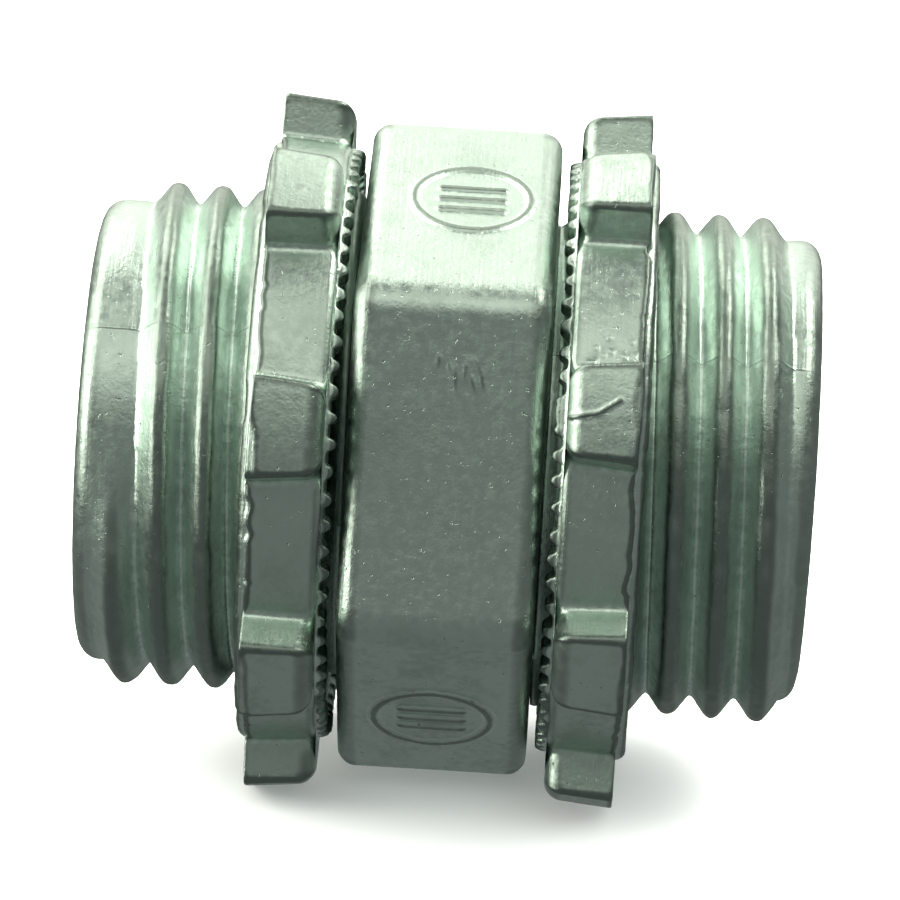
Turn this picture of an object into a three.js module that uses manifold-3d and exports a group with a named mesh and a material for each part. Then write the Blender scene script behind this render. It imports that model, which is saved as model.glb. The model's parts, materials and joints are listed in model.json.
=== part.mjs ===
// A 1/2 inch conduit box spacer: a die-cast zinc nipple with a hexagon in the middle and a right-hand
// straight pipe thread on both ends, and a toothed locknut run up to each face of the hexagon.
// Millimetres. The axis is +X, up is +Z, and the origin is the centre of the hexagon.
import * as THREE from 'three';
import { mergeVertices } from 'three/addons/utils/BufferGeometryUtils.js';
import Module from 'manifold-3d';

const wasm = await Module();
wasm.setup();

const TURN = 2 * Math.PI;
const degrees = THREE.MathUtils.degToRad;

// ---- driving dimensions ----

const PITCH = 25.4 / 14; // 14 threads per inch

const NIPPLE = {
  halfLength: 14.7,
  boreRadius: 7.9,
  boreChamfer: 0.3,
  pilotRadius: 9.5, // the plain ends, which are also the root of the thread
  rimRound: 0.8,
  crestRadius: 10.4,
};

// The thread's section: a crest that is nearly sharp, and flanks that slope down to a flat root.
const CREST_HALF_WIDTH = 0.15;
const ROOT_HALF_WIDTH = 0.65; // measured from the middle of the crest
const THREAD_CLEARANCE = 0.2; // between the nipple's thread and the locknuts' threads

// Where each thread ends, how fast it dies away there, and where its crest crosses the +Y side.
const RIGHT_THREAD = { from: 3.9, to: 13.8, fade: 0.5, start: 2.855 };
const LEFT_THREAD = { from: -13.15, to: -3.9, fade: 0.4, start: -4.894 };

const HEXAGON = {
  acrossFlats: 23.4,
  length: 7.8,
  cornerRound: 1.6,
  edgeRound: 0.8,
  tilt: degrees(15), // how far the flat that faces -Y looks upwards
};

// Along the locknut, zero is at the tips of its teeth and the lugs' sharp side is at lugEnd.
const LOCKNUT = {
  gapToHexagon: 0.3,
  ringStart: 0.35,
  ringEnd: 2.95, // the ring stops here, and the collar carries on
  ringRadius: 12.5, // this and lugRadius are measured at lugEnd
  toothCount: 72,
  toothHeight: 0.27,
  toothInnerRadius: 11.2,
  toothOuterRadius: 12.15,
  lugCount: 8,
  lugStart: 0.5,
  lugEnd: 3.45,
  lugRadius: 14.3,
  draft: Math.tan(degrees(5)), // the ring and the lugs are slimmer towards the teeth
  lugHalfAngle: degrees(9.3),
  lugTipHalfAngle: degrees(8.4),
  lugRound: 0.7,
  collarStart: 3.25,
  collarEnd: 3.75,
  collarRadius: 12.05,
  collarBevel: 0.25,
};

const LUG_FOOT_DEPTH = 0.6; // how far a lug's foot reaches into the ring
const FLANGE_DEPTH = 0.8; // from the teeth's tips to the flange's root, inside the ring
const COLLAR_ROOM = 0.35; // between the collar and the feet of the lugs

const AROUND = 36; // facets round the axis
const ROUND_STEPS = 3; // facets in a rounded edge
const LUG_TIP_STEPS = 3; // facets across a lug's tip

// ---- solids ----

// A lathe turns about its own Y axis and an extrusion grows along its own Z axis.
// Both are laid along X, with angles measured about X from +Y towards +Z.
const LATHE_TO_X = new THREE.Matrix4().makeBasis(
  new THREE.Vector3(0, 0, 1),
  new THREE.Vector3(1, 0, 0),
  new THREE.Vector3(0, 1, 0),
);
const EXTRUSION_TO_X = new THREE.Matrix4().makeBasis(
  new THREE.Vector3(0, 1, 0),
  new THREE.Vector3(0, 0, 1),
  new THREE.Vector3(1, 0, 0),
);

const WELD_DISTANCE = 1e-4;

// A closed geometry as a solid. Facets that shrank to a line when their corners met are left out.
function solidOf(geometry) {
  const bare = geometry.clone();
  bare.deleteAttribute('normal');
  bare.deleteAttribute('uv');
  const welded = mergeVertices(bare, WELD_DISTANCE);
  const index = welded.index.array;
  const triangles = [];
  for (let i = 0; i < index.length; i += 3) {
    const [a, b, c] = index.subarray(i, i + 3);
    if (a !== b && b !== c && c !== a) triangles.push(a, b, c);
  }
  return new wasm.Manifold(new wasm.Mesh({
    numProp: 3,
    vertProperties: Float32Array.from(welded.attributes.position.array),
    triVerts: Uint32Array.from(triangles),
  }));
}

function geometryOf(solid) {
  const mesh = solid.getMesh();
  const geometry = new THREE.BufferGeometry();
  geometry.setAttribute('position', new THREE.BufferAttribute(mesh.vertProperties, 3));
  geometry.setIndex(new THREE.BufferAttribute(mesh.triVerts, 1));
  geometry.computeVertexNormals();
  return geometry;
}

// A profile of [along, radius] points turned about X. place(step, corner), if given, returns the
// profile's corner as it is at that step of the turn, so that the turned shape can wind or wave.
function turned(profile, { facets = AROUND, place } = {}) {
  const points = profile.map(([along, radius]) => new THREE.Vector2(radius, along));
  const geometry = new THREE.LatheGeometry(points, facets);
  if (place) {
    const position = geometry.attributes.position;
    for (let i = 0; i < position.count; i += 1) {
      const step = Math.floor(i / points.length);
      const [along, radius] = place(step, i % points.length);
      const angle = (step / facets) * TURN;
      position.setXYZ(i, radius * Math.sin(angle), along, radius * Math.cos(angle));
    }
  }
  return solidOf(geometry.applyMatrix4(LATHE_TO_X));
}

// The outer corner of a profile that ends at the given place and radius, rounded off.
function roundedEnd(along, radius, round) {
  return Array.from({ length: ROUND_STEPS + 1 }, (_, step) => {
    const angle = (TURN / 4) * (1 - step / ROUND_STEPS);
    return [along - round + round * Math.cos(angle), radius - round + round * Math.sin(angle)];
  });
}

// The same corner at the other end of the profile, facing the other way.
function roundedStart(along, radius, round) {
  return roundedEnd(-along, radius, round).map(([at, r]) => [-at, r]).reverse();
}

// ---- screw threads ----

// A threaded rod. Its ridges slide along it as they go round, and die away at both of its ends.
// The clearance makes the whole section larger, for the rod that cuts a nut's thread.
function threadedRod({ from, to, fade, start }, clearance = 0) {
  const rootRadius = NIPPLE.pilotRadius + clearance;
  const crestRadius = NIPPLE.crestRadius + clearance;
  const height = NIPPLE.crestRadius - NIPPLE.pilotRadius;
  const slope = (ROOT_HALF_WIDTH - CREST_HALF_WIDTH) / height;
  const widening = clearance * (Math.hypot(1, slope) - slope);
  const crestHalf = CREST_HALF_WIDTH + widening;
  const rootHalf = ROOT_HALF_WIDTH + widening;

  const middles = [];
  const ridges = [];
  const firstTurn = Math.floor((from - start) / PITCH) - 1;
  const lastTurn = Math.ceil((to - start) / PITCH);
  for (let turn = firstTurn; turn <= lastTurn; turn += 1) {
    const middle = start + turn * PITCH;
    middles.push(middle);
    ridges.push([middle - rootHalf, rootRadius], [middle - crestHalf, crestRadius]);
    ridges.push([middle + crestHalf, crestRadius], [middle + rootHalf, rootRadius]);
  }
  const rodStart = [[from, 0], [from, rootRadius]];
  const rodEnd = [[to, rootRadius], [to, 0]];
  const profile = [...rodStart, ...ridges, ...rodEnd];

  const wind = (step, corner) => {
    const ridge = corner - rodStart.length;
    if (ridge < 0 || ridge >= ridges.length) return profile[corner];
    const [along, radius] = ridges[ridge];
    const advance = (PITCH * step) / AROUND;
    const wound = THREE.MathUtils.clamp(along + advance, from, to);
    const middle = middles[Math.floor((ridge * middles.length) / ridges.length)] + advance;
    const strength = THREE.MathUtils.clamp(Math.min(middle - from, to - middle) / fade, 0, 1);
    return [wound, rootRadius + (radius - rootRadius) * strength];
  };
  return turned(profile, { place: wind });
}

// ---- the nipple ----

function pilot() {
  const { halfLength, pilotRadius, rimRound } = NIPPLE;
  return turned([
    [-halfLength, 0],
    ...roundedStart(-halfLength, pilotRadius, rimRound),
    ...roundedEnd(halfLength, pilotRadius, rimRound),
    [halfLength, 0],
  ]);
}

function bore() {
  const { halfLength, boreRadius, boreChamfer } = NIPPLE;
  const beyond = 1;
  const mouth = boreRadius + boreChamfer + beyond;
  return turned([
    [-halfLength - beyond, 0],
    [-halfLength - beyond, mouth],
    [-halfLength + boreChamfer, boreRadius],
    [halfLength - boreChamfer, boreRadius],
    [halfLength + beyond, mouth],
    [halfLength + beyond, 0],
  ]);
}

// A regular hexagon with rounded corners. Its first flat's normal is at the given angle.
function hexagonShape(acrossFlats, cornerRound, flatAngle) {
  const cornerCentre = (acrossFlats / 2 - cornerRound) / Math.cos(degrees(30));
  const shape = new THREE.Shape();
  for (let corner = 0; corner < 6; corner += 1) {
    const middle = flatAngle + degrees(30 + 60 * corner);
    shape.absarc(
      cornerCentre * Math.cos(middle),
      cornerCentre * Math.sin(middle),
      cornerRound,
      middle - degrees(30),
      middle + degrees(30),
    );
  }
  shape.closePath();
  return shape;
}

function hexagon() {
  const { acrossFlats, length, cornerRound, edgeRound, tilt } = HEXAGON;
  const geometry = new THREE.ExtrudeGeometry(hexagonShape(acrossFlats, cornerRound, Math.PI - tilt), {
    depth: length - 2 * edgeRound,
    curveSegments: ROUND_STEPS,
    bevelThickness: edgeRound,
    bevelSize: edgeRound,
    bevelOffset: -edgeRound,
    bevelSegments: ROUND_STEPS,
  });
  geometry.translate(0, 0, edgeRound - length / 2);
  return solidOf(geometry.applyMatrix4(EXTRUSION_TO_X));
}

function nipple() {
  const outside = pilot()
    .add(threadedRod(RIGHT_THREAD))
    .add(threadedRod(LEFT_THREAD))
    .add(hexagon());
  return outside.subtract(bore());
}

// ---- the locknut, with its teeth at zero and its outer side towards +X ----

function disc(from, to, radius, startRadius = radius) {
  return turned([[from, 0], [from, startRadius], [to, radius], [to, 0]]);
}

// A radius that is measured at lugEnd, as the draft leaves it at another place along the locknut.
function drafted(radius, along) {
  return radius - LOCKNUT.draft * (LOCKNUT.lugEnd - along);
}

// The outline of the lugs, each a little narrower at its tip. Their feet are inside the ring.
function lugOutline() {
  const { lugCount, lugRadius, ringRadius, lugHalfAngle, lugTipHalfAngle } = LOCKNUT;
  const footRadius = ringRadius - LUG_FOOT_DEPTH;
  const outline = [];
  const addPoint = (radius, angle) => {
    outline.push(new THREE.Vector2(radius * Math.cos(angle), radius * Math.sin(angle)));
  };
  for (let lug = 0; lug < lugCount; lug += 1) {
    const middle = ((lug + 0.5) / lugCount) * TURN;
    addPoint(footRadius, middle - lugHalfAngle);
    for (let step = 0; step <= LUG_TIP_STEPS; step += 1) {
      addPoint(lugRadius, middle + lugTipHalfAngle * ((2 * step) / LUG_TIP_STEPS - 1));
    }
    addPoint(footRadius, middle + lugHalfAngle);
  }
  return new THREE.Shape(outline);
}

// The lugs, rounded off at their tips on the side towards the hexagon, with room for the collar.
function lugs() {
  const { lugStart, lugEnd, lugRadius, lugRound, ringEnd, collarRadius } = LOCKNUT;
  const beyond = 0.5;
  const geometry = new THREE.ExtrudeGeometry(lugOutline(), {
    depth: lugEnd - lugStart + 2 * beyond,
    bevelEnabled: false,
  });
  geometry.translate(0, 0, lugStart - beyond);
  const overFacets = 1 / Math.cos(TURN / 2 / AROUND);
  const envelope = turned([
    [lugStart, 0],
    ...roundedStart(lugStart, drafted(lugRadius, lugStart) * overFacets, lugRound),
    [lugEnd, lugRadius * overFacets],
    [lugEnd, 0],
  ]);
  return solidOf(geometry.applyMatrix4(EXTRUSION_TO_X))
    .intersect(envelope)
    .subtract(disc(ringEnd, lugEnd + beyond, collarRadius + COLLAR_ROOM));
}

// A flange on the side towards the hexagon, cut into triangular teeth all the way round.
function toothedFlange() {
  const { toothCount, toothHeight, toothInnerRadius, toothOuterRadius } = LOCKNUT;
  const profile = [
    [FLANGE_DEPTH, toothInnerRadius],
    [0, toothInnerRadius],
    [0, toothOuterRadius],
    [FLANGE_DEPTH, toothOuterRadius],
    [FLANGE_DEPTH, toothInnerRadius],
  ];
  const wave = (step, corner) => {
    const [along, radius] = profile[corner];
    const isValley = along === 0 && step % 2 === 1;
    return [isValley ? toothHeight : along, radius];
  };
  return turned(profile, { facets: 2 * toothCount, place: wave });
}

function locknut() {
  const { ringStart, ringEnd, ringRadius, collarEnd } = LOCKNUT;
  const cutter = threadedRod(
    { from: -2 * PITCH, to: collarEnd + 2 * PITCH, fade: PITCH, start: 0 },
    THREAD_CLEARANCE,
  );
  const ring = disc(ringStart, ringEnd, drafted(ringRadius, ringEnd), drafted(ringRadius, ringStart));
  return ring.add(lugs()).add(toothedFlange()).subtract(cutter);
}

// The end of the locknut's ring that stands out past its lugs. It is bored clear of the thread.
function collar() {
  const { collarStart, collarEnd, collarRadius, collarBevel } = LOCKNUT;
  const innerRadius = NIPPLE.crestRadius + THREAD_CLEARANCE + collarBevel;
  return turned([
    [collarStart, innerRadius],
    [collarStart, collarRadius],
    [collarEnd - collarBevel, collarRadius],
    [collarEnd, collarRadius - collarBevel],
    [collarEnd, innerRadius],
    [collarStart, innerRadius],
  ]);
}

// ---- assembly ----

const zinc = { roughness: 0.5, metalness: 0.9 };
const zincOfNipple = new THREE.MeshStandardMaterial({ color: 0x9fb3a6, ...zinc });
const zincOfLocknut = new THREE.MeshStandardMaterial({ color: 0x8b9f94, ...zinc });

function mesh(name, solid, material) {
  const object = new THREE.Mesh(geometryOf(solid), material);
  object.name = name;
  return object;
}

// A locknut and its collar stand on the thread at faceX, turned so that the threads mesh.
// On the left the same casting is turned end for end, so that its teeth face the hexagon.
function placedLocknut(side) {
  const isLeft = side === 'left';
  const faceX = (HEXAGON.length / 2 + LOCKNUT.gapToHexagon) * (isLeft ? -1 : 1);
  const lead = isLeft ? LEFT_THREAD.start - faceX + PITCH / 2 : faceX - RIGHT_THREAD.start;
  const onThread = new THREE.Group();
  onThread.rotation.x = (lead / PITCH) * TURN;
  onThread.add(mesh(`locknut_${side}`, locknut(), zincOfLocknut));
  onThread.add(mesh(`locknut_${side}_collar`, collar(), zincOfLocknut));
  const end = new THREE.Group();
  end.position.x = faceX;
  if (isLeft) end.rotation.z = Math.PI;
  end.add(onThread);
  return end;
}

const spacer = new THREE.Group();
spacer.add(mesh('nipple', nipple(), zincOfNipple));
spacer.add(placedLocknut('left'));
spacer.add(placedLocknut('right'));

export default spacer;
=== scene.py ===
import json
import math

import bpy
import numpy as np
from mathutils import Matrix, Vector


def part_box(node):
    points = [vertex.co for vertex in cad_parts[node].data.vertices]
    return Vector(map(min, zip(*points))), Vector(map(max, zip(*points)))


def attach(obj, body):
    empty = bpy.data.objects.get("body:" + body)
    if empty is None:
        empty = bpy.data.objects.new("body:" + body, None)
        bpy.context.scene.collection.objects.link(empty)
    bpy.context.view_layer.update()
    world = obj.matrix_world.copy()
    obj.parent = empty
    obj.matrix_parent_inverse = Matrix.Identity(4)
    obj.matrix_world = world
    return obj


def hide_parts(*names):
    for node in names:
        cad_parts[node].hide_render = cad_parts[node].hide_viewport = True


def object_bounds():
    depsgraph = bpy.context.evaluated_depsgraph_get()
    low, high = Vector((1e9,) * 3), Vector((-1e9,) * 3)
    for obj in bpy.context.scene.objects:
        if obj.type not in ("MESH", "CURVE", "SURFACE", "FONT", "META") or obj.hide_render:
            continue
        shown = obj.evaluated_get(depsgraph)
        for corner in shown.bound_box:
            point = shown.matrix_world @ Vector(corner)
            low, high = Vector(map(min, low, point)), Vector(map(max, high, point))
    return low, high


# A 1/2 inch conduit box spacer: a die-cast zinc nipple with a toothed locknut on each side of its
# hexagon. Sizes here are in millimetres and meshes are written in metres. Angles go round the axis,
# +X, from +Y towards +Z. Every piece is one closed grid: rows run along the piece and back through
# its bore, and columns run round it.

MM = 0.001
TURN = 2 * math.pi
PITCH = 25.4 / 14  # 14 threads per inch

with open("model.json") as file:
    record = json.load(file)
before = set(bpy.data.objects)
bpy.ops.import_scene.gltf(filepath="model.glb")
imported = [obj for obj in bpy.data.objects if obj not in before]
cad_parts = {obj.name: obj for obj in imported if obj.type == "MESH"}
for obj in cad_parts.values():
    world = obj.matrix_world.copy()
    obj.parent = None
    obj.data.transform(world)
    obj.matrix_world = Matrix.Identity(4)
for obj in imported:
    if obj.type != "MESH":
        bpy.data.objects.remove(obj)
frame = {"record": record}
cad_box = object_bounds()


# ---- sizes that the frame gives ----


def mount_point(name):
    """A mount's point."""
    points = [mount["pos_m"] for mount in frame["record"]["mounts"] if mount["name"] == name]
    return Vector(points[0]) / MM


HALF_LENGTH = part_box("nipple")[1].x / MM
FLAT_POINT = mount_point("wrench_flat_front")
HEX_APOTHEM = math.hypot(FLAT_POINT.y, FLAT_POINT.z)
HEX_FLAT_ANGLE = math.atan2(FLAT_POINT.z, FLAT_POINT.y)
NUT_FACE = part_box("locknut_right")[0].x / MM
NUT_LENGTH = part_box("locknut_right_collar")[1].x / MM - NUT_FACE


# ---- sizes of the nipple ----

HEX_HALF_LENGTH = 3.9
HEX_CORNER_ROUND = 1.6
HEX_EDGE_ROUND = 0.8
PILOT_RADIUS = 9.5
RIM_ROUND = 0.8
BORE_RADIUS = 7.9
BORE_CHAMFER = 0.3

THREAD_HEIGHT = 0.9
THREAD_PEAK = 1.22  # where its flanks would meet if it were sharp
THREAD_HALF_WIDTH = 0.88  # at its foot
THREAD_ROOT_DEPTH = 0.09  # the groove between two turns is this much below the plain ends
THREAD_SOFTNESS = 0.12
CREST_WEAR = 0.12
RIGHT_THREAD = {"start": 2.855, "from": 3.9, "to": 13.8}
LEFT_THREAD = {"start": -4.894, "from": -13.15, "to": -3.9}
THREAD_FADE = 0.3
DRAWN_LINE = 0.012  # height of the fine lines along the groove

SKIN_DEPTH = {"nipple": 0.03, "locknut": 0.025}  # how far a casting's surface wanders

SEAM_ANGLE = math.radians(137)  # where the halves of the mould met, and opposite
SEAM_HEIGHT = 0.02
SEAM_HALF_WIDTH = 0.07
SEAM_FLAT = math.radians(11)  # one half was eased flat beside the seam

MARK_RADIUS = 2.35
MARK_LINE = 0.19
MARK_HEIGHT = 0.11
MARK_BARS = 3
MARK_BAR_PITCH = 0.8
MARK_BAR_HALF_LENGTH = 1.25
DENT_COUNT = 10
DENT_DEPTH = 0.05
MARKED_FLATS = (  # flats are counted from the front one, and places from the flat's middle
    {"flat": -1, "along": 0.4, "across": -0.45},
    {"flat": 1, "along": 0.0, "across": 0.9},
)


# ---- sizes of a locknut, from the tips of its teeth outwards ----

RING_RADIUS = 12.5  # this and LUG_RADIUS are at the lugs' outer side
DRAFT = math.tan(math.radians(5))  # the ring and the lugs are slimmer towards the teeth
RING_START = 0.35
RING_ROUND = 0.25
LUG_COUNT = 8
LUG_START = 0.5
LUG_END = 3.45
LUG_RADIUS = 14.3
LUG_ROUND = 0.7
LUG_TIP_ROUND = 0.35
LUG_FOOT_ROUND = 0.3
LUG_FOOT_HALF_ANGLE = math.radians(9.3)
LUG_TIP_HALF_ANGLE = math.radians(8.4)
COLLAR_RADIUS = 12.0
COLLAR_INNER_RADIUS = 10.85
TOOTH_COUNT = 72
TOOTH_HALF_WIDTH = 0.27
TOOTH_INNER_RADIUS = 11.2
TOOTH_OUTER_RADIUS = 12.15
NUT_THREAD_ROOT = 10.65
NUT_THREAD_CREST = 9.8
NUT_THREAD_ROOT_HALF = 0.34
NUT_THREAD_CREST_HALF = 0.81
RING_START_ROUND = RING_ROUND - 0.15  # how far the ring's round edge draws in
END_SHORT = 0.1  # the trimmed outer edge stands this far inside LUG_END
TRIM_SLOPE = 0.45
SMEAR_HALF_WIDTH = 0.75  # of the one smeared tooth

NICK_COUNT = 16  # raised by knocks on the right locknut's ring
NICK_HEIGHT = 0.06
NICK_ANGLE = math.radians(143)
CRACK_DEPTH = 0.07  # across the right locknut's front lug: places along it and round it
CRACK = [(0.48, math.radians(155.7)), (1.67, math.radians(154.9)), (2.53, math.radians(152.6))]
STAIN = (5.7, -4.8, -13.2)  # a brown patch under the right locknut's lowest lug


# ---- how fine the meshes are ----

NIPPLE_COLUMNS = 720
THREAD_ROWS = 96
HEX_ROWS = 88
BORE_ROWS = 30
SIDE_ROWS = 27


# ---- numbers and noise ----


def steps(start, end, count, last=True):
    """Evenly spaced numbers as a column of rows."""
    return np.linspace(start, end, count, endpoint=last)[:, None]


def smooth(value, low, high):
    """0 below low, 1 above high, and a smooth rise between."""
    t = np.clip((value - low) / (high - low), 0, 1)
    return t * t * (3 - 2 * t)


def soft_ramp(value, softness):
    """0 below 0 and the value above it, with the corner rounded off."""
    return softness * np.log1p(np.exp(value / softness))


def bump(distance, half_width):
    """1 at no distance, falling smoothly to 0 at half_width."""
    return 1 - smooth(np.abs(distance), 0, half_width)


def spread(low, high, count, density):
    """Numbers from low up to high, closer together where density is larger."""
    fine = np.linspace(low, high, 4001)
    weight = density(fine)
    total = np.concatenate([[0], np.cumsum((weight[1:] + weight[:-1]) / 2)])
    return np.interp(np.linspace(0, 1, count), total / total[-1], fine)


def grain(points, cell, seed):
    """Smooth noise in space, from -1 to 1. A cell is the size of one lump."""
    size = 48
    table = np.random.default_rng(seed).uniform(-1, 1, (size, size, size))
    at = np.asarray(points) / cell
    corner = np.floor(at).astype(int)
    t = at - corner
    t = t * t * (3 - 2 * t)
    total = 0
    for step in np.ndindex(2, 2, 2):
        weight = np.ones(t.shape[:-1])
        for axis in range(3):
            weight = weight * (t[..., axis] if step[axis] else 1 - t[..., axis])
        index = (corner + step) % size
        total = total + weight * table[index[..., 0], index[..., 1], index[..., 2]]
    return total


def around(along, radius, angle):
    """Points from places along the axis, radii and angles."""
    along, radius, angle = np.broadcast_arrays(along, radius, angle)
    return np.stack([along, radius * np.cos(angle), radius * np.sin(angle)], axis=-1)


def turned_by(angle, to):
    """The signed angle from one direction to another, from minus half a turn to half a turn."""
    return (angle - to + TURN / 2) % TURN - TURN / 2


# ---- meshes ----


def neighbours(points):
    """The steps to the next and previous points along the rows and the columns."""
    return [
        (np.roll(points, -1, axis) - points, np.roll(points, 1, axis) - points)
        for axis in (0, 1)
    ]


def normals_of(points):
    (down, up), (on, back) = neighbours(points)
    normal = np.cross(down - up, on - back)
    length = np.linalg.norm(normal, axis=-1, keepdims=True)
    return normal / np.maximum(length, 1e-12)


def edginess(points):
    """How sharply the surface turns: above 0 on edges, below 0 in corners, about 1 at 0.3 mm round."""
    normal = normals_of(points)
    total = 0
    for ahead, behind in neighbours(points):
        a = np.linalg.norm(ahead, axis=-1, keepdims=True) + 0.02
        b = np.linalg.norm(behind, axis=-1, keepdims=True) + 0.02
        bend = 2 * (ahead / a + behind / b) / (a + b)
        total = total - np.sum(bend * normal, axis=-1)
    for axis in (0, 1, 0, 1):
        total = (np.roll(total, 1, axis) + 2 * total + np.roll(total, -1, axis)) / 4
    return np.clip(total * 0.3, -1, 1)


def grid_mesh(name, points, lay):
    """A closed mesh from a grid whose last row and column join the first ones. lay holds how far
    each column is round the piece and each row is along it, for marks that follow the surface."""
    rows, columns = points.shape[:2]
    row, column = np.meshgrid(np.arange(rows), np.arange(columns), indexing="ij")
    corners = [(row, column), (row, column + 1), (row + 1, column + 1), (row + 1, column)]
    quads = np.stack([(r % rows) * columns + c % columns for r, c in corners], axis=-1)
    mesh = bpy.data.meshes.new(name)
    mesh.vertices.add(rows * columns)
    mesh.vertices.foreach_set("co", (points * MM).astype(np.float32).ravel())
    mesh.loops.add(quads.size)
    mesh.loops.foreach_set("vertex_index", quads.astype(np.int32).ravel())
    mesh.polygons.add(rows * columns)
    mesh.polygons.foreach_set("loop_start", np.arange(0, quads.size, 4, dtype=np.int32))
    mesh.polygons.foreach_set("use_smooth", np.ones(rows * columns, dtype=bool))
    mesh.update(calc_edges=True)
    layer = mesh.uv_layers.new(name="lay")
    round_it, along_it = lay
    uv = np.stack(
        [np.stack([round_it[c], along_it[r]], axis=-1) for r, c in corners], axis=2
    )
    layer.data.foreach_set("uv", uv.astype(np.float32).ravel())
    curvature = mesh.attributes.new("curvature", "FLOAT", "POINT")
    curvature.data.foreach_set("value", edginess(points).astype(np.float32).ravel())
    return mesh


def cast_skin(points, seed, depth):
    """Moves a grid's points along its normals, as a casting's surface wanders."""
    normal = normals_of(points)
    lift = 0
    for cell, share in ((3.1, 0.45), (1.2, 0.3), (0.5, 0.15), (0.24, 0.1)):
        seed += 1
        lift = lift + share * grain(points, cell, seed)
    depth = np.broadcast_to(depth, lift.shape)
    return points + normal * (depth * lift)[..., None]


def add_piece(name, points, lay, material, body, nodes):
    piece = bpy.data.objects.new(name, grid_mesh(name, points, lay))
    bpy.context.scene.collection.objects.link(piece)
    piece.data.materials.append(material)
    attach(piece, body)
    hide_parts(*nodes)
    return piece


# ---- the nipple ----


def hexagon_radius(angle, inset):
    """From the axis to the hexagon with rounded corners, when it is drawn in by inset."""
    centre = (HEX_APOTHEM - HEX_CORNER_ROUND) / math.cos(TURN / 12)
    rounding = HEX_CORNER_ROUND - inset
    sixth = TURN / 6
    from_flat = (angle - HEX_FLAT_ANGLE + sixth / 2) % sixth - sixth / 2
    from_corner = sixth / 2 - np.abs(from_flat)
    flat = (HEX_APOTHEM - inset) / np.cos(from_flat)
    inside = np.maximum(rounding**2 - (centre * np.sin(from_corner)) ** 2, 0)
    corner = centre * np.cos(from_corner) + np.sqrt(inside)
    limit = np.arctan2(rounding * 0.5, centre + rounding * math.cos(TURN / 12))
    return np.where(from_corner < limit, corner, flat)


def thread_rise(along, angle, thread):
    """How far a thread stands up from the plain ends, with a crest rubbed down by wear and ragged."""
    phase = along - thread["start"] - PITCH * angle / TURN
    turn = np.floor(phase / PITCH + 0.5)
    from_crest = phase - turn * PITCH
    middle = along - from_crest
    flank = THREAD_PEAK - (THREAD_PEAK + THREAD_ROOT_DEPTH) * np.abs(from_crest) / THREAD_HALF_WIDTH
    place = around(turn * 7.0, 10.0, angle)
    wear = 0.7 * grain(place, 2.6, 31) + 0.5 * grain(place, 0.9, 32)
    crest = THREAD_HEIGHT - CREST_WEAR * smooth(wear, -0.6, 1.0)
    rise = crest - soft_ramp(crest - flank, THREAD_SOFTNESS)
    rise = soft_ramp(rise + THREAD_ROOT_DEPTH, THREAD_SOFTNESS)
    low, high = thread["from"], thread["to"]
    rise = rise * smooth(middle, low, low + THREAD_FADE) * smooth(-middle, -high, THREAD_FADE - high)
    in_groove = smooth(along, low, low + PITCH / 2) * smooth(-along, -high, PITCH / 2 - high)
    lines = grain(around(phase / 0.13, 2.5, angle) + turn[..., None] * 9.0, 1.0, 34)
    return rise + in_groove * (DRAWN_LINE * lines - THREAD_ROOT_DEPTH)


def seam_rise(angle, crest):
    """The thin ridge where the mould's halves met. It was scraped off the crests."""
    total = 0
    for each in (SEAM_ANGLE, SEAM_ANGLE + TURN / 2):
        distance = turned_by(angle, each) * PILOT_RADIUS
        total = total + bump(distance, SEAM_HALF_WIDTH)
    return SEAM_HEIGHT * total * (1 - smooth(crest, 0.2, 0.7))


def eased(radius, angle):
    """The radius with the flats beside the two seams."""
    for seam in (SEAM_ANGLE, SEAM_ANGLE + TURN / 2):
        from_middle = turned_by(angle, seam - SEAM_FLAT / 2)
        chord = math.cos(SEAM_FLAT / 2) / np.cos(np.clip(from_middle, -SEAM_FLAT, SEAM_FLAT))
        radius = radius * np.where(np.abs(from_middle) < SEAM_FLAT / 2, chord, 1)
    return radius


def marks_rise(along, angle):
    """The raised marks on two of the hexagon's flats: a ring round three plain bars."""
    total = 0
    for marked in MARKED_FLATS:
        from_flat = turned_by(angle, HEX_FLAT_ANGLE + marked["flat"] * TURN / 6)
        facing = np.abs(from_flat) < TURN / 12
        across = HEX_APOTHEM * np.tan(np.where(facing, from_flat, 0)) - marked["across"]
        beside = along - marked["along"]
        shape = 1 - smooth(np.abs(np.hypot(beside, across) - MARK_RADIUS), 0.6 * MARK_LINE, MARK_LINE)
        for bar in range(MARK_BARS):
            offset = (bar - (MARK_BARS - 1) / 2) * MARK_BAR_PITCH
            beyond = np.maximum(np.abs(beside) - MARK_BAR_HALF_LENGTH, 0)
            distance = np.hypot(beyond, across - offset)
            shape = np.maximum(shape, 1 - smooth(distance, 0.6 * MARK_LINE, MARK_LINE))
        total = total + np.where(facing, shape, 0)
    return MARK_HEIGHT * total


def nipple_angles():
    """Closer together at the hexagon's corners, across the marks and at the seams."""

    def density(angle):
        sixth = TURN / 6
        from_corner = (angle - HEX_FLAT_ANGLE) % sixth - sixth / 2
        total = 1 + 1.6 * (np.abs(from_corner) < 0.075)
        for marked in MARKED_FLATS:
            middle = HEX_FLAT_ANGLE + marked["flat"] * sixth + marked["across"] / HEX_APOTHEM
            total = total + 1.5 * (np.abs(turned_by(angle, middle)) < 0.24)
        for seam in (SEAM_ANGLE, SEAM_ANGLE + TURN / 2):
            total = total + 2.0 * (np.abs(turned_by(angle, seam)) < 0.02)
        return total

    return spread(0, TURN, NIPPLE_COLUMNS + 1, density)[:-1][None, :]


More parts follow.
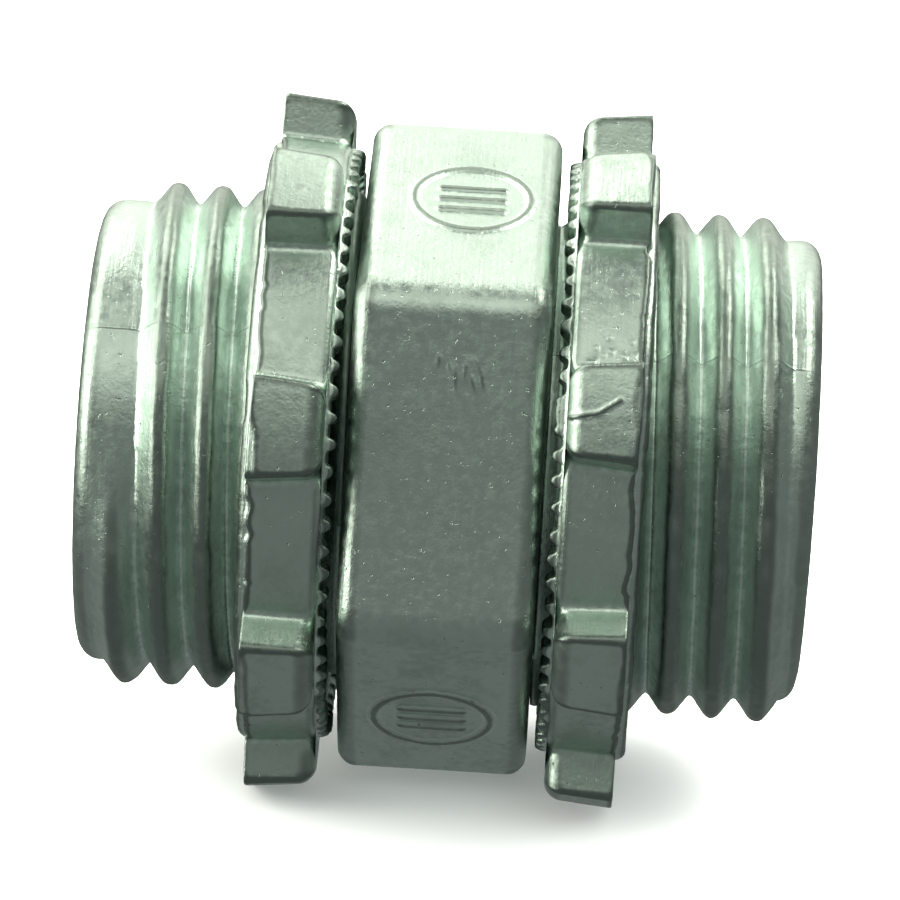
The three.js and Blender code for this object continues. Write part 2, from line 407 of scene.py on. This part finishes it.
def nipple_end(angle, side, thread):
    """Rows from the bore's mouth over the rim and the thread to the hexagon's edge round."""
    mouth = BORE_RADIUS + BORE_CHAMFER
    face = steps(mouth, PILOT_RADIUS - RIM_ROUND, 4, last=False)
    rows = [around(side * HALF_LENGTH, eased(face, angle), angle)]

    arc = steps(0, TURN / 4, 9, last=False)
    rim_along = HALF_LENGTH - RIM_ROUND * (1 - np.cos(arc))
    rim_radius = PILOT_RADIUS - RIM_ROUND * (1 - np.sin(arc))
    rows.append(around(side * rim_along, eased(rim_radius, angle), angle))

    along = side * steps(HALF_LENGTH - RIM_ROUND, HEX_HALF_LENGTH + 0.02, THREAD_ROWS)
    crest = thread_rise(along, angle, thread)
    radius = PILOT_RADIUS + crest + seam_rise(angle, crest)
    rows.append(around(along, eased(radius, angle), angle))

    edge = hexagon_radius(angle, HEX_EDGE_ROUND)
    climb = steps(0.08, 1, 6, last=False)
    wall = PILOT_RADIUS + (edge - PILOT_RADIUS) * climb
    rows.append(around(side * HEX_HALF_LENGTH, wall, angle))

    arc = steps(0, TURN / 4, 10, last=False)
    inset = HEX_EDGE_ROUND * (1 - np.sin(arc))
    along = HEX_HALF_LENGTH - HEX_EDGE_ROUND * (1 - np.cos(arc))
    rows.append(around(side * along, hexagon_radius(angle, inset), angle))
    return np.concatenate(rows)


def nipple_points(angle):
    left = nipple_end(angle, -1, LEFT_THREAD)
    right = nipple_end(angle, 1, RIGHT_THREAD)[::-1]
    reach = HEX_HALF_LENGTH - HEX_EDGE_ROUND

    def density(along):
        return 1 + 1.5 * (np.abs(along) < MARK_RADIUS + 4 * MARK_LINE)

    along = spread(-reach, reach, HEX_ROWS, density)[:, None]
    top = around(along, hexagon_radius(angle, 0) + marks_rise(along, angle), angle)
    inside = steps(HALF_LENGTH - BORE_CHAMFER, -HALF_LENGTH + BORE_CHAMFER, BORE_ROWS)
    bore = around(inside, BORE_RADIUS, angle)
    return np.concatenate([left, top, right, bore])


def dents_depth(points):
    """Small gouges from handling, on the upper half of the front flat."""
    rng = np.random.default_rng(61)
    depth = 0
    for _ in range(DENT_COUNT):
        place = (0.6 + rng.normal(0, 0.6), FLAT_POINT.z + 4.1 + rng.normal(0, 0.7))
        slope = rng.uniform(-0.7, 0.7)
        length, width = rng.uniform(0.35, 0.75), rng.uniform(0.12, 0.22)
        along, up = points[..., 0] - place[0], points[..., 2] - place[1]
        distance = np.hypot((up + slope * along) / length, (along - slope * up) / width)
        depth = np.maximum(depth, 1 - smooth(distance, 0, 1.2))
    in_front = points[..., 1] < 0.9 * FLAT_POINT.y
    return DENT_DEPTH * depth * in_front


def make_nipple(material):
    angle = nipple_angles()
    points = nipple_points(angle)
    points = cast_skin(points, 100, SKIN_DEPTH["nipple"])
    points = points - normals_of(points) * dents_depth(points)[..., None]
    round_it = np.append(angle[0], TURN) * PILOT_RADIUS
    step = np.linalg.norm(np.roll(points, -1, 0) - points, axis=-1).mean(axis=1)
    along_it = np.append(0, np.cumsum(step))
    add_piece(
        "nipple_casting", points, (round_it, along_it), material,
        "nipple", ["nipple"],
    )


# ---- a locknut, in its own frame: its axis is +X and its teeth's tips are at zero ----

TIP_COLUMNS = 24
ROUND_COLUMNS = 6
WALL_COLUMNS = 6
FOOT_COLUMNS = 5
VALLEY_COLUMNS = 27


def half_outline(lug_inset, ring_inset):
    """From the middle of a lug's tip to the middle of the valley: angles, radii, and how much each
    point belongs to the lug. The insets are columns of rows and draw the outline in."""
    ring = RING_RADIUS - ring_inset
    tip = LUG_RADIUS - lug_inset
    tip_angle = LUG_TIP_HALF_ANGLE - lug_inset / LUG_RADIUS
    foot_angle = LUG_FOOT_HALF_ANGLE - lug_inset / LUG_RADIUS
    rounding = np.maximum(LUG_TIP_ROUND - 0.6 * lug_inset, 0.1)
    flat_angle = tip_angle - rounding / LUG_RADIUS

    t = np.linspace(0, 1, TIP_COLUMNS, endpoint=False)[None, :]
    parts = [(flat_angle * t, tip + 0 * t, 1 + 0 * t)]

    arc = np.linspace(0, TURN / 4, ROUND_COLUMNS, endpoint=False)[None, :]
    radius = tip - rounding * (1 - np.cos(arc))
    parts.append((flat_angle + rounding / LUG_RADIUS * np.sin(arc), radius, 1 + 0 * arc))

    t = np.linspace(0, 1, WALL_COLUMNS, endpoint=False)[None, :]
    top = tip - rounding
    low = ring + LUG_FOOT_ROUND
    parts.append((tip_angle + (foot_angle - tip_angle) * t, top + (low - top) * t, 1 - 0.5 * t))

    arc = np.linspace(0, TURN / 4, FOOT_COLUMNS, endpoint=False)[None, :]
    radius = ring + LUG_FOOT_ROUND * (1 - np.sin(arc))
    sideways = LUG_FOOT_ROUND / RING_RADIUS * (1 - np.cos(arc))
    parts.append((foot_angle + sideways, radius, 0.5 - arc * 2 / TURN))

    t = np.linspace(0, 1, VALLEY_COLUMNS)[None, :]
    start = foot_angle + LUG_FOOT_ROUND / RING_RADIUS
    middle = TURN / LUG_COUNT / 2
    parts.append((start + (middle - start) * t, ring + 0 * t, 0 * t * lug_inset))
    shape = np.broadcast_shapes(lug_inset.shape, ring_inset.shape)
    return [
        np.concatenate([np.broadcast_to(p[i], (shape[0], p[i].shape[1])) for p in parts], axis=1)
        for i in range(3)
    ]


def outline(lug_inset, ring_inset):
    """The whole outline, lug by lug, from the middle of one valley to the middle of the next."""
    angle, radius, share = half_outline(lug_inset, ring_inset)
    angle = np.concatenate([-angle[:, :0:-1], angle[:, :-1]], axis=1)
    radius = np.concatenate([radius[:, :0:-1], radius[:, :-1]], axis=1)
    share = np.concatenate([share[:, :0:-1], share[:, :-1]], axis=1)
    middles = (np.arange(LUG_COUNT) + 0.5) / LUG_COUNT * TURN
    angle = np.concatenate([angle + middle for middle in middles], axis=1)
    return angle, np.tile(radius, LUG_COUNT), np.tile(share, LUG_COUNT)


def nut_thread_radius(along, angle):
    """The nut's own thread, cut by a rod a little larger than the nipple's thread."""
    phase = along - PITCH * angle / TURN
    from_groove = np.abs((phase + PITCH / 2) % PITCH - PITCH / 2)
    t = (from_groove - NUT_THREAD_ROOT_HALF) / (NUT_THREAD_CREST_HALF - NUT_THREAD_ROOT_HALF)
    return NUT_THREAD_ROOT + (NUT_THREAD_CREST - NUT_THREAD_ROOT) * np.clip(t, 0, 1)


def tooth_rise(angle, seed, smeared):
    """From 0 between the teeth to 1 on them. Each is a little different, and one is smeared."""
    pitch = TURN / TOOTH_COUNT
    index = np.round(angle / pitch).astype(int) % TOOTH_COUNT
    rng = np.random.default_rng(seed)
    height = rng.uniform(0.72, 1.0, TOOTH_COUNT)[index]
    width = TOOTH_HALF_WIDTH * rng.uniform(0.85, 1.15, TOOTH_COUNT)[index]
    lean = rng.uniform(-0.08, 0.08, TOOTH_COUNT)[index]
    distance = turned_by(angle, index * pitch) * TOOTH_OUTER_RADIUS - lean
    rise = height * np.sqrt(np.clip(1 - (distance / width) ** 2, 0, 1))
    if smeared is None:
        return rise
    distance = turned_by(angle, smeared) * TOOTH_OUTER_RADIUS
    blob = 0.95 * np.sqrt(np.clip(1 - (distance / SMEAR_HALF_WIDTH) ** 2, 0, 1))
    return np.maximum(rise, blob)


def nut_points(seed, smeared):
    even = np.linspace(0, TURN, outline(steps(0, 0, 1), steps(0, 0, 1))[0].shape[1], endpoint=False)
    even = even[None, :]
    half_step = even[0, 1] / 2
    even = even + half_step
    rows = []

    # Out over the teeth, from the thread to the ring.
    face = steps(NUT_THREAD_ROOT + 0.15, TOOTH_INNER_RADIUS - 0.05, 4)
    rows.append(around(RING_START, face, even))
    climb = steps(0, 1, 5)
    rise = tooth_rise(even, seed, smeared)
    inner = TOOTH_INNER_RADIUS + 0.25 * climb
    rows.append(around(RING_START * (1 - rise * np.sin(climb * TURN / 4)), inner, even))
    crown = steps(TOOTH_INNER_RADIUS + 0.35, TOOTH_OUTER_RADIUS - 0.2, 6)
    rows.append(around(RING_START * (1 - rise), crown, even))
    arc = steps(0, TURN / 4, 6)
    fall = RING_START + (LUG_START - RING_START) * (1 - np.cos(arc)) - RING_START * rise * np.cos(arc)
    rows.append(around(fall, TOOTH_OUTER_RADIUS - 0.18 * (1 - np.sin(arc)), even))

    # Along the step from the teeth to the outline of the lugs, drawn in.
    full_draft = DRAFT * (LUG_END - LUG_START)
    angle, radius, _ = outline(
        steps(LUG_ROUND + full_draft, 0, 1), steps(RING_START_ROUND + full_draft, 0, 1)
    )
    t = steps(0.1, 1, 6, last=False)
    rows.append(
        around(
            LUG_START,
            TOOTH_OUTER_RADIUS + (radius - TOOTH_OUTER_RADIUS) * t,
            even + (angle - even) * smooth(t, 0, 1),
        )
    )

    # Over the round edge, then along the lugs and the ring to the outer side.
    arc = steps(0, TURN / 4, 9)
    turn = 1 - np.cos(arc)
    draft = full_draft - DRAFT * LUG_ROUND * turn
    angle, radius, share = outline(
        draft + LUG_ROUND * (1 - np.sin(arc)), draft + RING_START_ROUND * (1 - np.sin(arc))
    )
    ring_along = LUG_START + RING_ROUND * turn
    lug_along = LUG_START + LUG_ROUND * turn
    along = ring_along + (lug_along - ring_along) * smooth(share, 0, 0.6)
    rows.append(around(along, radius, angle))
    start = along[-1:]
    t = steps(0, 1, SIDE_ROWS + 1)[1:]
    draft = DRAFT * (LUG_END - LUG_START - LUG_ROUND) * (1 - t)
    side_angle, side_radius, side_share = outline(draft, draft)
    edge_angle, edge_radius, edge_share = side_angle[-1:], side_radius[-1:], side_share[-1:]

    # The outer edge was trimmed by hand: it wanders, and the lugs lean.
    wander = grain(around(0, 14.0, edge_angle), 3.0, seed + 1)
    ragged = grain(around(0, 14.0, edge_angle), 0.55, seed + 2)
    end = LUG_END - END_SHORT + 0.08 * wander + 0.02 * ragged
    bite = smooth(ragged + 0.4 * wander, -0.1, 0.9)
    end = end - 0.16 * bite * (1 - smooth(edge_share, 0, 0.5))
    trimmed = 0.05 + 0.4 * smooth(wander, 0.1, 0.9) * edge_share
    trim = np.maximum(start + (end - start) * t - (end - trimmed), 0)
    rows.append(around(start + (end - start) * t, side_radius - TRIM_SLOPE * trim, side_angle))
    edge_radius = edge_radius - TRIM_SLOPE * trimmed

    # In over the outer side, up the collar's bevel and over its face.
    shoulder = COLLAR_RADIUS + 0.3
    t = steps(0, 1, 6)[1:]
    inwards = edge_radius - 0.04 + (shoulder - edge_radius + 0.04) * t
    rows.append(around(end + 0.03, inwards, edge_angle))
    arc = steps(0, 1, 5)[1:]
    scallop = 0.1 * smooth(grain(around(0, 12.0, edge_angle), 0.8, seed + 3), -0.2, 0.8)
    top = NUT_LENGTH - 0.02 - 0.5 * scallop
    rows.append(
        around(
            end + 0.03 + (top - end - 0.03) * np.sin(arc * TURN / 4),
            shoulder + (COLLAR_RADIUS - scallop - shoulder) * (1 - np.cos(arc * TURN / 4)),
            edge_angle,
        )
    )
    t = steps(0, 1, 6)[1:]
    outer = COLLAR_RADIUS - scallop
    rows.append(around(top, outer + (COLLAR_INNER_RADIUS - outer) * t, edge_angle))

    # Back through the thread.
    t = steps(0, 1, BORE_ROWS)
    along = NUT_LENGTH - 0.25 + (RING_START + 0.2 - NUT_LENGTH + 0.25) * t
    angle = edge_angle + (even - edge_angle) * smooth(t, 0, 1)
    rows.append(around(along, nut_thread_radius(along, angle), angle))
    return np.concatenate(rows), even


def scars_rise(points):
    """The nicks on the right locknut's ring, and below zero the crack across its front lug."""
    along = points[..., 0] - NUT_FACE
    angle = np.arctan2(points[..., 2], points[..., 1])
    radius = np.hypot(points[..., 2], points[..., 1])
    rng = np.random.default_rng(71)
    nicks = 0
    for _ in range(NICK_COUNT):
        place = (rng.uniform(0.7, 3.1), NICK_ANGLE + rng.normal(0, 0.045))
        distance = np.hypot(along - place[0], (angle - place[1]) * RING_RADIUS)
        nicks = np.maximum(nicks, 1 - smooth(distance, 0.03, 0.17))
    nearest = np.inf
    for start, end in zip(CRACK, CRACK[1:]):
        reach = np.array([end[0] - start[0], (end[1] - start[1]) * LUG_RADIUS])
        across, up = along - start[0], (angle - start[1]) * LUG_RADIUS
        t = np.clip((across * reach[0] + up * reach[1]) / (reach @ reach), 0, 1)
        nearest = np.minimum(nearest, np.hypot(across - t * reach[0], up - t * reach[1]))
    crack = 1 - smooth(nearest, 0.02, 0.13)
    on_ring = (radius > RING_RADIUS - 0.5) & (radius < RING_RADIUS + 0.2)
    on_lug = radius > LUG_RADIUS - 0.6
    return NICK_HEIGHT * nicks * on_ring - CRACK_DEPTH * crack * on_lug


def make_locknut(side, material, smeared_at):
    """side is -1 for the left locknut, which is turned end for end, and 1 for the right one."""
    name = "left" if side < 0 else "right"
    if side < 0:
        lead = LEFT_THREAD["start"] + NUT_FACE + PITCH / 2
    else:
        lead = NUT_FACE - RIGHT_THREAD["start"]
    turn = lead / PITCH * TURN
    own_angle = None
    if smeared_at is not None:
        own_angle = smeared_at - turn if side > 0 else TURN / 2 - smeared_at - turn
    points, even = nut_points(200 + 20 * side, own_angle)
    points = cast_skin(points, 300 + 40 * side, SKIN_DEPTH["locknut"])
    place = Matrix.Rotation(turn, 3, "X")
    if side < 0:
        place = Matrix.Rotation(math.pi, 3, "Z") @ place
    points = points @ np.array(place).T + np.array([side * NUT_FACE, 0, 0])
    if side > 0:
        points = points + normals_of(points) * scars_rise(points)[..., None]
    round_it = np.append(even[0], even[0, 0] + TURN) * RING_RADIUS
    step = np.linalg.norm(np.roll(points, -1, 0) - points, axis=-1).mean(axis=1)
    along_it = np.append(0, np.cumsum(step))
    add_piece(
        f"locknut_{name}_casting", points, (round_it, along_it), material,
        f"locknut_{name}_turn", [f"locknut_{name}", f"locknut_{name}_collar"],
    )


# ---- cast zinc ----


class Nodes:
    """Short ways to add shader nodes and join them."""

    def __init__(self, tree):
        self.tree = tree

    def add(self, kind, settings=(), **inputs):
        node = self.tree.nodes.new(kind)
        for key, value in dict(settings).items():
            setattr(node, key, value)
        for key, value in inputs.items():
            self.feed(node.inputs[key.replace("_", " ")], value)
        return node

    def feed(self, socket, value):
        if isinstance(value, bpy.types.NodeSocket):
            self.tree.links.new(value, socket)
        else:
            socket.default_value = value

    def noise(self, vector, scale, detail=3.0, roughness=0.55):
        """Noise centred on a half, with lumps of about 1/scale millimetres."""
        node = self.add("ShaderNodeTexNoise", Vector=vector, Scale=scale, Detail=detail)
        node.inputs["Roughness"].default_value = roughness
        return node.outputs["Fac"]

    def ramp(self, value, low, high, to_low=0.0, to_high=1.0):
        node = self.add("ShaderNodeMapRange", {"interpolation_type": "SMOOTHSTEP"}, Value=value)
        for key, number in zip(("From Min", "From Max", "To Min", "To Max"), (low, high, to_low, to_high)):
            node.inputs[key].default_value = number
        return node.outputs["Result"]

    def math(self, operation, a, b):
        node = self.add("ShaderNodeMath", {"operation": operation})
        self.feed(node.inputs[0], a)
        self.feed(node.inputs[1], b)
        return node.outputs[0]

    def mix(self, share, a, b):
        node = self.add("ShaderNodeMix", {"data_type": "RGBA"})
        self.feed(node.inputs["Factor"], share)
        self.feed(node.inputs[6], a)
        self.feed(node.inputs[7], b)
        return node.outputs[2]


def zinc(name, clean, tarnish_and_shade, seed, stain=None):
    """Die-cast zinc: a fine grain with pits, streaks drawn round the piece by the mould and by nuts
    run over it, and darker random blotches. Painted shade darkens the colour in the corners, and a
    painted highlight, with bright metal from wear, lightens it on the sharp edges. A stain is a
    brown patch round one place."""
    material = bpy.data.materials.new(name)
    material.use_nodes = True
    nodes = Nodes(material.node_tree)
    shader = material.node_tree.nodes["Principled BSDF"]

    place = nodes.add("ShaderNodeTexCoord").outputs["Object"]
    to_mm = nodes.add("ShaderNodeMapping", Vector=place)
    to_mm.inputs["Scale"].default_value = (1 / MM,) * 3
    to_mm.inputs["Location"].default_value = (seed, seed, seed)
    at = to_mm.outputs[0]
    lay = nodes.add("ShaderNodeUVMap", {"uv_map": "lay"}).outputs[0]
    drawn = nodes.add("ShaderNodeMapping", Vector=lay)
    drawn.inputs["Scale"].default_value = (0.35, 6.0, 1.0)
    curvature = nodes.add("ShaderNodeAttribute", {"attribute_name": "curvature"}).outputs["Fac"]

    blotches = nodes.noise(at, 0.45, 4.0)
    mottle = nodes.noise(at, 2.6, 4.0)
    fine = nodes.noise(at, 7.0, 3.0)
    streaks = nodes.noise(drawn.outputs[0], 1.0, 3.0)
    pits = nodes.ramp(nodes.noise(at, 4.2, 2.0), 0.68, 0.76)

    dirty = nodes.ramp(nodes.math("ADD", blotches, nodes.math("MULTIPLY", mottle, 0.6)), 0.68, 1.05)
    # Painted shade: the colour goes to the dark one in the corners, where the surface bends inwards.
    corners = nodes.ramp(curvature, -0.02, -0.5)
    dark = nodes.math("MAXIMUM", nodes.math("MULTIPLY", dirty, 0.3), corners)
    dark = nodes.math("MAXIMUM", dark, nodes.math("MULTIPLY", pits, 0.7))
    colour = nodes.mix(dark, clean, tarnish_and_shade)
    # Bright metal from wear and a painted highlight: the colour is lighter on sharp edges, where the
    # surface bends outwards.
    edges = nodes.math("MULTIPLY", nodes.ramp(curvature, 0.08, 0.6), nodes.ramp(mottle, 0.35, 0.6))
    bright = [min(1.0, 1.25 * c) for c in clean[:3]] + [1.0]
    colour = nodes.mix(edges, colour, bright)
    if stain is not None:
        away = nodes.add("ShaderNodeVectorMath", {"operation": "DISTANCE"})
        nodes.feed(away.inputs[0], at)
        away.inputs[1].default_value = [number + seed for number in stain]
        reach = nodes.math("ADD", away.outputs["Value"], nodes.math("MULTIPLY", mottle, 1.5))
        colour = nodes.mix(nodes.ramp(reach, 2.6, 1.2), colour, (0.42, 0.30, 0.26, 1))
    nodes.feed(shader.inputs["Base Color"], colour)

    uneven = nodes.math("ADD", mottle, nodes.math("MULTIPLY", dirty, 0.3))
    roughness = nodes.ramp(uneven, 0.3, 0.9, 0.3, 0.45)
    roughness = nodes.math("SUBTRACT", roughness, nodes.math("MULTIPLY", edges, 0.1))
    nodes.feed(shader.inputs["Roughness"], roughness)
    shader.inputs["Metallic"].default_value = 1.0

    height = nodes.math("MULTIPLY", fine, 0.6)
    height = nodes.math("ADD", height, nodes.math("MULTIPLY", mottle, 0.8))
    height = nodes.math("ADD", height, nodes.math("MULTIPLY", streaks, 0.6))
    height = nodes.math("SUBTRACT", height, nodes.math("MULTIPLY", pits, 0.9))
    relief = nodes.add("ShaderNodeBump", Height=height)
    relief.inputs["Strength"].default_value = 0.5
    relief.inputs["Distance"].default_value = 0.045 * MM
    nodes.feed(shader.inputs["Normal"], relief.outputs[0])
    return material


# ---- floor, light and camera ----

VIEW_DISTANCE = 222.0
VIEW_AZIMUTH = math.radians(1.09)
VIEW_ELEVATION = math.radians(18)
VIEW_ROLL = math.radians(3.18)
VIEW_ANGLE = math.radians(9.556)  # across the whole picture

LAMP_DISTANCE = 0.6  # metres
LAMP_COLOUR = (1.0, 0.97, 0.88)
SURROUNDINGS = {"for the floor": 2.0, "for everything": 0.2}  # the background's brightness


def make_floor():
    lowest = cad_box[0].z
    half = 3.0
    corners = [(-half, -half), (half, -half), (half, half), (-half, half)]
    mesh = bpy.data.meshes.new("floor")
    mesh.from_pydata([(x, y, lowest) for x, y in corners], [], [(0, 1, 2, 3)])
    floor = bpy.data.objects.new("floor", mesh)
    bpy.context.scene.collection.objects.link(floor)
    material = bpy.data.materials.new("pale_floor")
    material.use_nodes = True
    shader = material.node_tree.nodes["Principled BSDF"]
    shader.inputs["Base Color"].default_value = (0.93, 0.94, 0.93, 1)
    shader.inputs["Roughness"].default_value = 1.0
    shader.inputs["Specular IOR Level"].default_value = 0.0
    mesh.materials.append(material)
    floor.visible_glossy = False


def add_softbox(name, azimuth, elevation, size, power):
    """A soft area light that looks at the object. Azimuth 0 is the camera's side, -Y, and 90 is +X."""
    light = bpy.data.lights.new(name, "AREA")
    light.shape = "RECTANGLE"
    light.size, light.size_y = size
    light.energy = power
    light.color = LAMP_COLOUR
    lamp = bpy.data.objects.new(name, light)
    bpy.context.scene.collection.objects.link(lamp)
    az, el = math.radians(azimuth), math.radians(elevation)
    away = Vector((math.sin(az) * math.cos(el), -math.cos(az) * math.cos(el), math.sin(el)))
    lamp.location = away * LAMP_DISTANCE
    lamp.rotation_mode = "QUATERNION"
    lamp.rotation_quaternion = away.to_track_quat("Z", "Y")


def make_lights():
    """Each softbox is given its brightness, and its power follows from its size."""
    for name, azimuth, elevation, size, brightness in (
        ("left", -88, 28, (0.5, 0.65), 3.2),
        ("left_front", -66, 8, (0.3, 0.4), 3.0),
        ("left_back", -140, 50, (0.35, 0.45), 3.4),
        ("back", 180, 28, (1.0, 0.55), 1.35),
        ("right_high", 112, 58, (0.5, 0.25), 5.5),
        ("front_high", -10, 56, (0.9, 0.38), 0.85),
    ):
        power = brightness * math.pi * size[0] * size[1]
        add_softbox(name, azimuth, elevation, size, power)
    world = bpy.data.worlds.new("studio")
    bpy.context.scene.world = world
    world.use_nodes = True
    nodes = Nodes(world.node_tree)
    background = world.node_tree.nodes["Background"]
    background.inputs["Color"].default_value = (0.96, 1.0, 0.98, 1)
    rays = nodes.add("ShaderNodeLightPath")
    floor_light = nodes.math("MULTIPLY", rays.outputs["Is Diffuse Ray"], SURROUNDINGS["for the floor"])
    strength = nodes.math("ADD", floor_light, SURROUNDINGS["for everything"])
    strength = nodes.math("MAXIMUM", strength, rays.outputs["Is Camera Ray"])
    nodes.feed(background.inputs["Strength"], strength)


def make_camera():
    back = Vector(
        (
            math.sin(VIEW_AZIMUTH) * math.cos(VIEW_ELEVATION),
            -math.cos(VIEW_AZIMUTH) * math.cos(VIEW_ELEVATION),
            math.sin(VIEW_ELEVATION),
        )
    )
    right = (-back).cross(Vector((0, 0, 1))).normalized()
    up = right.cross(-back)
    rolled_right = right * math.cos(VIEW_ROLL) + up * math.sin(VIEW_ROLL)
    rolled_up = up * math.cos(VIEW_ROLL) - right * math.sin(VIEW_ROLL)
    data = bpy.data.cameras.new("camera")
    data.sensor_width = 36
    data.lens = data.sensor_width / 2 / math.tan(VIEW_ANGLE / 2)
    data.clip_start, data.clip_end = 0.01, 20
    camera = bpy.data.objects.new("camera", data)
    bpy.context.scene.collection.objects.link(camera)
    turn = Matrix((rolled_right, rolled_up, back)).transposed().to_4x4()
    camera.matrix_world = Matrix.Translation(back * VIEW_DISTANCE * MM) @ turn
    bpy.context.scene.camera = camera


make_camera()
make_floor()
make_lights()
bpy.context.scene.view_settings.view_transform = "Standard"

# The second colour darkens random blotches and pits, and is also the painted shade in the corners.
nipple_zinc = zinc("cast_zinc_nipple", (0.55, 0.68, 0.60, 1), (0.23, 0.29, 0.25, 1), 3.0)
locknut_zinc = zinc("cast_zinc_locknut", (0.53, 0.66, 0.575, 1), (0.19, 0.24, 0.21, 1), 11.0, STAIN)
make_nipple(nipple_zinc)
make_locknut(-1, locknut_zinc, None)
make_locknut(1, locknut_zinc, math.radians(153.8))
